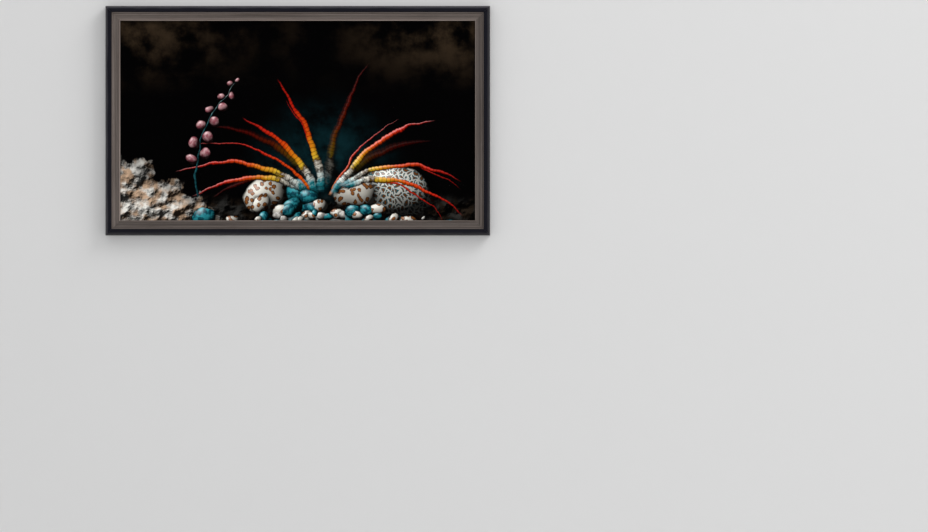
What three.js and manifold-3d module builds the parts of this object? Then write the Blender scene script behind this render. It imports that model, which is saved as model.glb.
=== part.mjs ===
// A framed canvas print. A black outer moulding holds a grey-brown wooden liner, and the
// liner holds a canvas stretched over a keyed wooden stretcher, clipped in from behind.
// Two sawtooth hangers carry it. Millimetres, +Z up. The picture faces -Y, and the flat
// back of the outer moulding lies on the wall, y = 0. The origin is on that back, at the
// middle of the top rail.
//
// Sections are drawn with two measures: inset, in from the frame's outer edge towards the
// picture, and rise, out from the wall towards the viewer.
import * as THREE from "three";
import { mergeVertices } from "three/addons/utils/BufferGeometryUtils.js";
import Module from "manifold-3d";

// Clearance between pieces that touch in the real frame, and steps in a quarter round.
const GAP = 0.3;
const ROUND_STEPS = 6;

// The picture that shows, between the inner edges of the liner: 16 to 9.
const SIGHT_WIDTH = 1000;
const SIGHT_HEIGHT = 562.5;

// Outer moulding: an L with a rounded outer shoulder, a level crown and a thin lip.
const FRAME_DEPTH = 38;
const OUTER_FACE = 17.5;
const OUTER_BODY = 12.5;
const OUTER_LIP_THICKNESS = 4.7;
const OUTER_LIP_ROUND = 1.5;
const SHOULDER_WIDTH = 9;
const SHOULDER_DROP = 12;
const OUTER_BACK_CHAMFER = 0.8;

// Liner: a flat fillet, a fine groove, a wide shallow scoop and a bead at the picture.
const LINER_FACE = 25;
const LINER_BACK_RISE = 10;
const LINER_LIP_THICKNESS = 6;
const FILLET_WIDTH = 3.9;
const GROOVE_WIDTH = 1;
const GROOVE_DEPTH = 1.2;
const SCOOP_DROP = 0.9;
const SCOOP_SAG = 1.7;
const BEAD_RADIUS = 1.8;
const BEAD_SIDE = 1.4;

// Canvas: one sheet round the stretcher, turned over on to its back.
const CANVAS_COVER = 6;
const CANVAS_THICKNESS = 0.6;
const CANVAS_TURNOVER = 26;

// Stretcher: four mitred bars that slope away from the canvas, and an upright brace.
const BAR_WIDTH = 38;
const BAR_DEPTH = 18;
const BAR_RIM = 5;
const BAR_FALL = 2;
const BAR_ARRIS = 1.2;
const BRACE_WIDTH = 38;
const BRACE_DEPTH = 12.5;

// Keys: thin wedges, one in each end of each bar, level bars nearer the front.
const KEY_THICKNESS = 2.4;
const KEY_SINK = 13;
const KEY_SHOW = 22;
const KEY_TIP = 2.4;
const KEY_HEEL = 12.6;
const KEY_CORNER = 2;
const KEY_OFFSET = 0.6;
const KEY_MOUTH = 7.5;
const LEVEL_BAR_KEY_RISE = 19.4;
const UPRIGHT_BAR_KEY_RISE = 13.2;

// Offset clips: a bent strip from the liner's back to the stretcher's back.
const CLIP_WIDTH = 12;
const CLIP_THICKNESS = 1.2;
const CLIP_START = 20;
const CLIP_BEND = 33.2;
const CLIP_END = 57;
const CLIP_SCREW_INSET = 26.5;
const CLIP_HOLE_RADIUS = 2.1;
const CLIP_SPACING = 340;

// Clip screws and hanger nails.
const SCREW = { headRadius: 3.4, headHeight: 1.7, shankRadius: 1.5, length: 13, sides: 20 };
const NAIL = { headRadius: 2, headHeight: 0.7, shankRadius: 0.7, length: 12, sides: 14 };
const SCREW_SLOT_WIDTH = 0.8;
const SCREW_SLOT_DEPTH = 0.8;
const SCREW_SLOT_LENGTH = 3.6;

// Sawtooth hangers: a strip whose middle stands off the wood, toothed along its lower edge.
const HANGER_LENGTH = 46;
const HANGER_HEIGHT = 10;
const HANGER_THICKNESS = 0.9;
const HANGER_INSET = 17;
const HANGER_STEP = 0.9;
const HANGER_FOOT = 7;
const HANGER_TEETH = 11;
const HANGER_TOOTH_PITCH = 2.5;
const HANGER_TOOTH_DEPTH = 2.2;
const HANGER_CORNER = 2;
const HANGER_NAIL_FROM_END = 3.4;
const HANGER_SPACING = 540;

// Worked out from the sizes above.
const FRAME_FACE = OUTER_FACE + LINER_FACE;
const FRAME_WIDTH = SIGHT_WIDTH + 2 * FRAME_FACE;
const FRAME_HEIGHT = SIGHT_HEIGHT + 2 * FRAME_FACE;
const OUTER_LIP_BACK = FRAME_DEPTH - OUTER_LIP_THICKNESS;
const LINER_FRONT = OUTER_LIP_BACK - GAP;
const LINER_EDGE = OUTER_BODY + GAP;
const LINER_LIP_BACK = LINER_FRONT - LINER_LIP_THICKNESS;
const CANVAS_EDGE = FRAME_FACE - CANVAS_COVER;
const LINER_REBATE = CANVAS_EDGE - GAP;
const CANVAS_FRONT = LINER_LIP_BACK - GAP;
const BAR_EDGE = CANVAS_EDGE + CANVAS_THICKNESS + GAP;
const BAR_INNER = BAR_EDGE + BAR_WIDTH;
const BAR_FRONT = CANVAS_FRONT - CANVAS_THICKNESS - GAP;
const BAR_BACK = BAR_FRONT - BAR_DEPTH;
const CANVAS_BACK = BAR_BACK - GAP - CANVAS_THICKNESS;
const CLIP_TOP = LINER_BACK_RISE - GAP;
const CLIP_FOOT = CANVAS_BACK - GAP;
const MITRE_SETBACK = GAP / Math.SQRT2;

// The four sides. Each rail is made as the top one and turned about the picture's centre.
const SIDES = [
  { name: "top", turn: 0, length: FRAME_WIDTH, reach: FRAME_HEIGHT / 2, level: true },
  { name: "right", turn: Math.PI / 2, length: FRAME_HEIGHT, reach: FRAME_WIDTH / 2, level: false },
  { name: "bottom", turn: Math.PI, length: FRAME_WIDTH, reach: FRAME_HEIGHT / 2, level: true },
  { name: "left", turn: -Math.PI / 2, length: FRAME_HEIGHT, reach: FRAME_WIDTH / 2, level: false },
];

const BLACK_PAINT = new THREE.MeshStandardMaterial({ color: "#211f26", roughness: 0.42, metalness: 0 });
const GREY_BROWN_WOOD = new THREE.MeshStandardMaterial({ color: "#6d605a", roughness: 0.62, metalness: 0 });
const PRINTED_CANVAS = new THREE.MeshStandardMaterial({ color: "#141110", roughness: 0.8, metalness: 0 });
const PINE = new THREE.MeshStandardMaterial({ color: "#c8a877", roughness: 0.7, metalness: 0 });
const BEECH = new THREE.MeshStandardMaterial({ color: "#c79a6b", roughness: 0.6, metalness: 0 });
const ZINC_STEEL = new THREE.MeshStandardMaterial({ color: "#b4b6b8", roughness: 0.38, metalness: 1 });
const BRASSED_STEEL = new THREE.MeshStandardMaterial({ color: "#b8964f", roughness: 0.35, metalness: 1 });

const wasm = await Module();
wasm.setup();

function solidOf(geometry) {
  const bare = geometry.clone();
  bare.deleteAttribute("normal");
  bare.deleteAttribute("uv");
  const merged = mergeVertices(bare);
  return new wasm.Manifold(
    new wasm.Mesh({
      numProp: 3,
      vertProperties: merged.attributes.position.array,
      triVerts: new Uint32Array(merged.index.array),
    }),
  );
}

function geometryOf(solid) {
  const mesh = solid.getMesh();
  const geometry = new THREE.BufferGeometry();
  geometry.setAttribute("position", new THREE.BufferAttribute(mesh.vertProperties, 3));
  geometry.setIndex(new THREE.BufferAttribute(mesh.triVerts, 1));
  geometry.computeVertexNormals();
  return geometry;
}

// The geometry with each tool taken away.
function cut(geometry, tools) {
  let solid = solidOf(geometry);
  for (const tool of tools) solid = solid.subtract(solidOf(tool));
  return geometryOf(solid);
}

// What two geometries share.
function common(geometry, other) {
  return geometryOf(solidOf(geometry).intersect(solidOf(other)));
}

// A section in (inset, rise), run along the top side. halfLength gives, for each inset, how
// far the run goes each way, so a mitre is cut by the section itself.
function run(section, reach, halfLength) {
  const geometry = new THREE.ExtrudeGeometry(section, {
    depth: 1,
    bevelEnabled: false,
    curveSegments: ROUND_STEPS,
  });
  const position = geometry.attributes.position;
  for (let i = 0; i < position.count; i++) {
    const inset = position.getX(i);
    const rise = position.getY(i);
    const end = position.getZ(i) < 0.5 ? 1 : -1;
    position.setXYZ(i, end * halfLength(inset), -rise, reach - inset);
  }
  return geometry;
}

function mitredRun(section, side) {
  return run(section, side.reach, (inset) => side.length / 2 - inset - MITRE_SETBACK);
}

// A plate drawn in (along, inset) on the top side, between two rises.
function plate(points, reach, lowRise, highRise) {
  const outline = points.map(([along, inset]) => new THREE.Vector2(along, reach - inset));
  const geometry = new THREE.ExtrudeGeometry(new THREE.Shape(outline), {
    depth: highRise - lowRise,
    bevelEnabled: false,
  });
  geometry.rotateX(Math.PI / 2);
  geometry.translate(0, -lowRise, 0);
  return geometry;
}

function box(width, lowRise, highRise, height) {
  const geometry = new THREE.BoxGeometry(width, highRise - lowRise, height);
  geometry.translate(0, -(lowRise + highRise) / 2, 0);
  return geometry;
}

// A round hole or pin along the rise, at a place on the top side.
function round(radius, along, inset, reach, lowRise, highRise, sides) {
  const geometry = new THREE.CylinderGeometry(radius, radius, highRise - lowRise, sides);
  geometry.translate(along, -(lowRise + highRise) / 2, reach - inset);
  return geometry;
}

function outerSection() {
  const crownStart = FRAME_DEPTH - OUTER_LIP_ROUND;
  const section = new THREE.Shape();
  section.moveTo(OUTER_BACK_CHAMFER, 0);
  section.lineTo(OUTER_BODY, 0);
  section.lineTo(OUTER_BODY, OUTER_LIP_BACK);
  section.lineTo(OUTER_FACE, OUTER_LIP_BACK);
  section.lineTo(OUTER_FACE, crownStart);
  section.absarc(OUTER_FACE - OUTER_LIP_ROUND, crownStart, OUTER_LIP_ROUND, 0, Math.PI / 2, false);
  section.lineTo(SHOULDER_WIDTH, FRAME_DEPTH);
  section.absellipse(
    SHOULDER_WIDTH,
    FRAME_DEPTH - SHOULDER_DROP,
    SHOULDER_WIDTH,
    SHOULDER_DROP,
    Math.PI / 2,
    Math.PI,
    false,
    0,
  );
  section.lineTo(0, OUTER_BACK_CHAMFER);
  section.closePath();
  return section;
}

function linerSection() {
  const filletEnd = OUTER_FACE + FILLET_WIDTH;
  const scoopStart = filletEnd + GROOVE_WIDTH;
  const beadEdge = FRAME_FACE - 2 * BEAD_RADIUS;
  const beadFoot = LINER_FRONT - BEAD_SIDE;
  const scoopEdge = LINER_FRONT - SCOOP_DROP;
  const section = new THREE.Shape();
  section.moveTo(LINER_EDGE, LINER_BACK_RISE);
  section.lineTo(LINER_REBATE, LINER_BACK_RISE);
  section.lineTo(LINER_REBATE, LINER_LIP_BACK);
  section.lineTo(FRAME_FACE, LINER_LIP_BACK);
  section.lineTo(FRAME_FACE, beadFoot);
  section.absarc(FRAME_FACE - BEAD_RADIUS, beadFoot, BEAD_RADIUS, 0, Math.PI, false);
  section.lineTo(beadEdge, scoopEdge - SCOOP_DROP);
  section.quadraticCurveTo(
    (beadEdge + scoopStart) / 2,
    scoopEdge - SCOOP_DROP / 2 - 2 * SCOOP_SAG,
    scoopStart,
    scoopEdge,
  );
  section.lineTo(scoopStart, LINER_FRONT - GROOVE_DEPTH - SCOOP_DROP);
  section.lineTo(filletEnd, LINER_FRONT - GROOVE_DEPTH - SCOOP_DROP);
  section.lineTo(filletEnd, LINER_FRONT);
  section.lineTo(LINER_EDGE, LINER_FRONT);
  section.closePath();
  return section;
}

function barSection() {
  const section = new THREE.Shape();
  section.moveTo(BAR_EDGE + BAR_ARRIS, BAR_BACK);
  section.lineTo(BAR_INNER - BAR_ARRIS, BAR_BACK);
  section.lineTo(BAR_INNER, BAR_BACK + BAR_ARRIS);
  section.lineTo(BAR_INNER, BAR_FRONT - BAR_FALL - BAR_ARRIS);
  section.lineTo(BAR_INNER - BAR_ARRIS, BAR_FRONT - BAR_FALL);
  section.lineTo(BAR_EDGE + BAR_RIM + BAR_FALL, BAR_FRONT - BAR_FALL);
  section.lineTo(BAR_EDGE + BAR_RIM, BAR_FRONT);
  section.lineTo(BAR_EDGE + BAR_ARRIS, BAR_FRONT);
  section.lineTo(BAR_EDGE, BAR_FRONT - BAR_ARRIS);
  section.lineTo(BAR_EDGE, BAR_BACK + BAR_ARRIS);
  section.closePath();
  return section;
}

// The holes that a side's clip screws and hanger nails go into.
function fixingHoles(side) {
  const holes = clipPlaces(side).map((along) =>
    round(
      SCREW.shankRadius + GAP,
      along,
      CLIP_SCREW_INSET,
      side.reach,
      0,
      CLIP_TOP - CLIP_THICKNESS + SCREW.length + GAP,
      SCREW.sides,
    ),
  );
  for (const along of nailPlaces(side))
    holes.push(
      round(
        NAIL.shankRadius + GAP,
        along,
        HANGER_INSET + HANGER_HEIGHT / 2,
        side.reach,
        0,
        CLIP_TOP + NAIL.length + GAP,
        NAIL.sides,
      ),
    );
  return holes;
}

function clipPlaces(side) {
  return side.level ? [-CLIP_SPACING / 2, CLIP_SPACING / 2] : [0];
}

function hangerPlaces(side) {
  return side.name === "top" ? [-HANGER_SPACING / 2, HANGER_SPACING / 2] : [];
}

function nailPlaces(side) {
  const out = HANGER_LENGTH / 2 - HANGER_NAIL_FROM_END;
  return hangerPlaces(side).flatMap((along) => [along - out, along + out]);
}

function outerRail(side) {
  return mitredRun(outerSection(), side);
}

function linerRail(side) {
  return cut(mitredRun(linerSection(), side), fixingHoles(side));
}

// One bar, with a pocket at each end for its key.
function stretcherBar(side) {
  const keyRise = side.level ? LEVEL_BAR_KEY_RISE : UPRIGHT_BAR_KEY_RISE;
  const half = KEY_THICKNESS / 2 + GAP;
  const corner = side.length / 2 - BAR_INNER;
  const pockets = [-1, 1].map((end) =>
    plate(
      [
        [end * (corner - KEY_MOUTH), BAR_INNER - KEY_SINK - GAP],
        [end * (corner - KEY_OFFSET / 2), BAR_INNER - KEY_SINK - GAP],
        [end * (corner - KEY_OFFSET / 2), BAR_INNER + 1],
        [end * (corner - KEY_MOUTH), BAR_INNER + 1],
      ],
      side.reach,
      keyRise - half,
      keyRise + half,
    ),
  );
  return cut(mitredRun(barSection(), side), pockets);
}

// A key in one end of a bar: its straight edge lies along the next bar.
function key(side, end) {
  const keyRise = side.level ? LEVEL_BAR_KEY_RISE : UPRIGHT_BAR_KEY_RISE;
  const edge = side.length / 2 - BAR_INNER - KEY_OFFSET;
  const tip = BAR_INNER - KEY_SINK;
  const heel = BAR_INNER + KEY_SHOW;
  return plate(
    [
      [end * edge, tip],
      [end * edge, heel],
      [end * (edge - KEY_HEEL + KEY_CORNER), heel],
      [end * (edge - KEY_HEEL), heel - KEY_CORNER],
      [end * (edge - KEY_TIP), tip],
    ],
    side.reach,
    keyRise - KEY_THICKNESS / 2,
    keyRise + KEY_THICKNESS / 2,
  );
}

// The upright brace between the level bars, its long edges eased.
function brace() {
  const half = BRACE_WIDTH / 2;
  const height = FRAME_HEIGHT - 2 * (BAR_INNER + GAP);
  const section = new THREE.Shape();
  section.moveTo(-half + BAR_ARRIS, BAR_BACK);
  section.lineTo(half - BAR_ARRIS, BAR_BACK);
  section.lineTo(half, BAR_BACK + BAR_ARRIS);
  section.lineTo(half, BAR_BACK + BRACE_DEPTH - BAR_ARRIS);
  section.lineTo(half - BAR_ARRIS, BAR_BACK + BRACE_DEPTH);
  section.lineTo(-half + BAR_ARRIS, BAR_BACK + BRACE_DEPTH);
  section.lineTo(-half, BAR_BACK + BRACE_DEPTH - BAR_ARRIS);
  section.lineTo(-half, BAR_BACK + BAR_ARRIS);
  section.closePath();
  const geometry = new THREE.ExtrudeGeometry(section, { depth: height, bevelEnabled: false });
  geometry.rotateZ(Math.PI);
  geometry.translate(0, 0, -height / 2);
  return geometry;
}

// The sheet round the stretcher: a front, four sides and a turned-over border.
function canvasSheet() {
  const width = FRAME_WIDTH - 2 * CANVAS_EDGE;
  const height = FRAME_HEIGHT - 2 * CANVAS_EDGE;
  const wall = 2 * CANVAS_THICKNESS;
  const border = 2 * CANVAS_TURNOVER;
  return cut(box(width, CANVAS_BACK, CANVAS_FRONT, height), [
    box(
      width - wall,
      CANVAS_BACK + CANVAS_THICKNESS,
      CANVAS_FRONT - CANVAS_THICKNESS,
      height - wall,
    ),
    box(width - border, 0, CANVAS_BACK + 2 * CANVAS_THICKNESS, height - border),
  ]);
}

// A bent strip with round ends and one screw hole.
function clip(side, along) {
  const section = new THREE.Shape();
  const drop = CLIP_TOP - CLIP_FOOT;
  section.moveTo(CLIP_START, CLIP_TOP - CLIP_THICKNESS);
  section.lineTo(CLIP_BEND - CLIP_THICKNESS / 2, CLIP_TOP - CLIP_THICKNESS);
  section.lineTo(CLIP_BEND + drop - CLIP_THICKNESS, CLIP_FOOT - CLIP_THICKNESS);
  section.lineTo(CLIP_END, CLIP_FOOT - CLIP_THICKNESS);
  section.lineTo(CLIP_END, CLIP_FOOT);
  section.lineTo(LINER_REBATE, CLIP_FOOT);
  section.lineTo(CLIP_BEND, CLIP_TOP);
  section.lineTo(CLIP_START, CLIP_TOP);
  section.closePath();
  const strip = run(section, side.reach, () => CLIP_WIDTH);
  strip.translate(along, 0, 0);
  const radius = CLIP_WIDTH / 2;
  const outline = new THREE.Shape();
  outline.absarc(along, side.reach - CLIP_START - radius, radius, 0, Math.PI, false);
  outline.absarc(along, side.reach - CLIP_END + radius, radius, Math.PI, 2 * Math.PI, false);
  outline.closePath();
  const rounded = new THREE.ExtrudeGeometry(outline, {
    depth: LINER_BACK_RISE,
    bevelEnabled: false,
    curveSegments: ROUND_STEPS,
  });
  rounded.rotateX(Math.PI / 2);
  const hole = round(
    CLIP_HOLE_RADIUS,
    along,
    CLIP_SCREW_INSET,
    side.reach,
    0,
    LINER_BACK_RISE,
    SCREW.sides,
  );
  return cut(common(strip, rounded), [hole]);
}

// A domed head and a pointed shank, turned about the rise. headRise is the head's underside.
function fixing(kind, side, along, inset, headRise) {
  const { headRadius, headHeight, shankRadius, length, sides } = kind;
  const dome = new THREE.EllipseCurve(0, 0, headRadius, headHeight, 0, Math.PI / 2);
  const profile = [
    new THREE.Vector2(0, -length),
    new THREE.Vector2(shankRadius, -length + 2 * shankRadius),
    new THREE.Vector2(shankRadius, 0),
    new THREE.Vector2(headRadius, 0),
    ...dome.getPoints(ROUND_STEPS).slice(1, -1),
    new THREE.Vector2(0, headHeight),
  ];
  const geometry = new THREE.LatheGeometry(profile, sides);
  geometry.translate(along, -headRise, side.reach - inset);
  return geometry;
}

function clipScrew(side, along) {
  const headRise = CLIP_TOP - CLIP_THICKNESS - GAP;
  const screw = fixing(SCREW, side, along, CLIP_SCREW_INSET, headRise);
  const top = -headRise + SCREW.headHeight;
  const slots = [
    [SCREW_SLOT_LENGTH, SCREW_SLOT_WIDTH],
    [SCREW_SLOT_WIDTH, SCREW_SLOT_LENGTH],
  ].map(([width, height]) => {
    const slot = new THREE.BoxGeometry(width, 2 * SCREW_SLOT_DEPTH, height);
    slot.translate(along, top, side.reach - CLIP_SCREW_INSET);
    return slot;
  });
  return cut(screw, slots);
}

// A strip bent away from the wood between its two feet, with teeth cut into its lower edge.
function hanger(side, along) {
  const half = HANGER_LENGTH / 2;
  const foot = half - HANGER_FOOT;
  const bend = HANGER_STEP + HANGER_THICKNESS / 2;
  const section = new THREE.Shape();
  section.moveTo(-half, CLIP_TOP - HANGER_THICKNESS);
  section.lineTo(-foot, CLIP_TOP - HANGER_THICKNESS);
  section.lineTo(-foot + bend, CLIP_TOP - HANGER_STEP - HANGER_THICKNESS);
  section.lineTo(foot - bend, CLIP_TOP - HANGER_STEP - HANGER_THICKNESS);
  section.lineTo(foot, CLIP_TOP - HANGER_THICKNESS);
  section.lineTo(half, CLIP_TOP - HANGER_THICKNESS);
  section.lineTo(half, CLIP_TOP);
  section.lineTo(foot - HANGER_THICKNESS / 2, CLIP_TOP);
  section.lineTo(foot - bend - HANGER_THICKNESS / 2, CLIP_TOP - HANGER_STEP);
  section.lineTo(-foot + bend + HANGER_THICKNESS / 2, CLIP_TOP - HANGER_STEP);
  section.lineTo(-foot + HANGER_THICKNESS / 2, CLIP_TOP);
  section.lineTo(-half, CLIP_TOP);
  section.closePath();
  const strip = new THREE.ExtrudeGeometry(section, { depth: HANGER_HEIGHT, bevelEnabled: false });
  strip.rotateZ(Math.PI);
  strip.translate(along, 0, side.reach - HANGER_INSET - HANGER_HEIGHT);
  const lower = HANGER_INSET + HANGER_HEIGHT;
  const points = [
    [along - half, lower - HANGER_CORNER],
    [along - half, HANGER_INSET + HANGER_CORNER],
    [along - half + HANGER_CORNER, HANGER_INSET],
    [along + half - HANGER_CORNER, HANGER_INSET],
    [along + half, HANGER_INSET + HANGER_CORNER],
    [along + half, lower - HANGER_CORNER],
    [along + half - HANGER_CORNER, lower],
  ];
  const toothed = (HANGER_TEETH * HANGER_TOOTH_PITCH) / 2;
  for (let i = 0; i < HANGER_TEETH; i++) {
    const start = along + toothed - i * HANGER_TOOTH_PITCH;
    points.push([start, lower]);
    points.push([start - HANGER_TOOTH_PITCH / 2, lower - HANGER_TOOTH_DEPTH]);
  }
  points.push([along - toothed, lower]);
  points.push([along - half + HANGER_CORNER, lower]);
  const outline = plate(points, side.reach, 0, LINER_BACK_RISE);
  const nailOut = half - HANGER_NAIL_FROM_END;
  const holes = [-nailOut, nailOut].map((out) =>
    round(
      NAIL.shankRadius + GAP,
      along + out,
      HANGER_INSET + HANGER_HEIGHT / 2,
      side.reach,
      0,
      LINER_BACK_RISE,
      NAIL.sides,
    ),
  );
  return cut(common(strip, outline), holes);
}

function hangerNail(side, along) {
  const headRise = CLIP_TOP - HANGER_THICKNESS - GAP;
  return fixing(NAIL, side, along, HANGER_INSET + HANGER_HEIGHT / 2, headRise);
}

function named(name, geometry, material) {
  const mesh = new THREE.Mesh(geometry, material);
  mesh.name = name;
  return mesh;
}

// Everything on one side, made as for the top and turned into its place.
function sideGroup(side) {
  const group = new THREE.Group();
  group.rotation.y = side.turn;
  group.add(named(`outer_rail_${side.name}`, outerRail(side), BLACK_PAINT));
  group.add(named(`liner_rail_${side.name}`, linerRail(side), GREY_BROWN_WOOD));
  group.add(named(`stretcher_bar_${side.name}`, stretcherBar(side), PINE));
  [-1, 1].forEach((end, i) => {
    group.add(named(`key_${side.name}_${i + 1}`, key(side, end), BEECH));
  });
  clipPlaces(side).forEach((along, i) => {
    group.add(named(`clip_${side.name}_${i + 1}`, clip(side, along), ZINC_STEEL));
    group.add(named(`clip_screw_${side.name}_${i + 1}`, clipScrew(side, along), ZINC_STEEL));
  });
  hangerPlaces(side).forEach((along, i) => {
    group.add(named(`hanger_${i + 1}`, hanger(side, along), BRASSED_STEEL));
  });
  nailPlaces(side).forEach((along, i) => {
    group.add(named(`hanger_nail_${i + 1}`, hangerNail(side, along), BRASSED_STEEL));
  });
  return group;
}

function framedPicture() {
  const picture = new THREE.Group();
  picture.position.z = OUTER_BODY / 2 - FRAME_HEIGHT / 2;
  picture.add(named("canvas", canvasSheet(), PRINTED_CANVAS));
  picture.add(named("stretcher_brace", brace(), PINE));
  for (const side of SIDES) picture.add(sideGroup(side));
  const root = new THREE.Group();
  root.add(picture);
  return root;
}

export default framedPicture();
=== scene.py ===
import logging
import math
import random
from collections.abc import Iterator
from dataclasses import dataclass, fields
from enum import Enum

import bmesh
import bpy
from bmesh.types import BMEdge, BMesh, BMVert
from bpy.types import Material, Object
from mathutils import Matrix, Vector, noise


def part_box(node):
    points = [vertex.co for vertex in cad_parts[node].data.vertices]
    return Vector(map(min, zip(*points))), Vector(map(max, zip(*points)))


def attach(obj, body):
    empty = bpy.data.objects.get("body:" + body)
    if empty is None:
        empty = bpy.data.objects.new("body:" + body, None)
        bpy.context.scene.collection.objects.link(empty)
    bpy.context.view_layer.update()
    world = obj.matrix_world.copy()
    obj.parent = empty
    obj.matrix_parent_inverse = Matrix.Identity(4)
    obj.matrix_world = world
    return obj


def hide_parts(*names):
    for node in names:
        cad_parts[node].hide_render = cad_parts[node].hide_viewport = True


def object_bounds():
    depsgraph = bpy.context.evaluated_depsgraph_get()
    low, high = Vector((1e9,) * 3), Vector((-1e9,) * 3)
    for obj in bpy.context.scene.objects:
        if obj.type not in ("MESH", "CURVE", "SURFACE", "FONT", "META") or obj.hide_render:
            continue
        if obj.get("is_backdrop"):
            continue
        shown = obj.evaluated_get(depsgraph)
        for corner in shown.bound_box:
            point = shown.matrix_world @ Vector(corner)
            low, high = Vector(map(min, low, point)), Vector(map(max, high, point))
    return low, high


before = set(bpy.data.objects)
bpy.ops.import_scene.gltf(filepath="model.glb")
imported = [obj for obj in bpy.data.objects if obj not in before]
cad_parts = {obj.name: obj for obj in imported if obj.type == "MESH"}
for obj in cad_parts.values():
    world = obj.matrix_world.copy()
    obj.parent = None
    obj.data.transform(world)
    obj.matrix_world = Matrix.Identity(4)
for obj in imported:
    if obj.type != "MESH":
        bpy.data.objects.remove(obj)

CAD_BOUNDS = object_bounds()
MM = 0.001
PHOTO_WIDTH, PHOTO_HEIGHT = 928, 532
GRAIN_MAP, SECTION_MAP = "Grain", "Section"
CORNERS = ((-1, -1), (-1, 1), (1, -1), (1, 1))

log = logging.getLogger("framed_print")

Colour = tuple[float, float, float]
Triple = tuple[float, float, float]
Point = tuple[float, float]


class Side(Enum):
    """The sides of the frame, each by its turn from the top one, in degrees."""

    TOP = 0
    RIGHT = 90
    BOTTOM = 180
    LEFT = 270

    @property
    def word(self) -> str:
        """The side as it stands in a node's name."""
        return self.name.lower()

    @property
    def level(self) -> bool:
        """Whether the side runs along X."""
        return self in (Side.TOP, Side.BOTTOM)

    @property
    def darker(self) -> bool:
        """Whether the side's rails are given painted shade: a darker stain and a dimmer painted highlight.
        """
        return self in (Side.RIGHT, Side.BOTTOM)


class Datum:
    """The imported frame's planes and edges, in metres.

    Insets run in from the frame's outer edge, and rises run out from the wall.
    """

    def __init__(self) -> None:
        """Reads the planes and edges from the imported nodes' boxes."""
        low, high = CAD_BOUNDS
        liner_low, liner_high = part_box("liner_rail_top")
        canvas_low, canvas_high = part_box("canvas")
        self.centre_z = (low.z + high.z) / 2
        self.half_width = (high.x - low.x) / 2
        self.half_height = (high.z - low.z) / 2
        self.depth = -low.y
        self.outer_face = high.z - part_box("outer_rail_top")[0].z
        self.liner_edge = high.z - liner_high.z
        self.liner_back = -liner_high.y
        self.sight_edge = high.z - liner_low.z
        self.canvas_edge = high.z - canvas_high.z
        self.canvas_front = -canvas_low.y
        self.canvas_back = -canvas_high.y
        self.clip_along = abs(sum(corner.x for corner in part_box("clip_top_1"))) / 2

    def reach(self, side: Side) -> float:
        """How far a side's outer edge is from the middle of the picture."""
        return self.half_height if side.level else self.half_width

    def length(self, side: Side) -> float:
        """How long a side is at its outer edge."""
        return 2 * (self.half_width if side.level else self.half_height)

    def place(self, bm: BMesh, side: Side = Side.TOP) -> None:
        """Turns a mesh from the top side to another, and lifts it to the picture's height."""
        turn(bm, side.value, "Y")
        bmesh.ops.translate(bm, verts=bm.verts, vec=(0, 0, self.centre_z))


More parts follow.
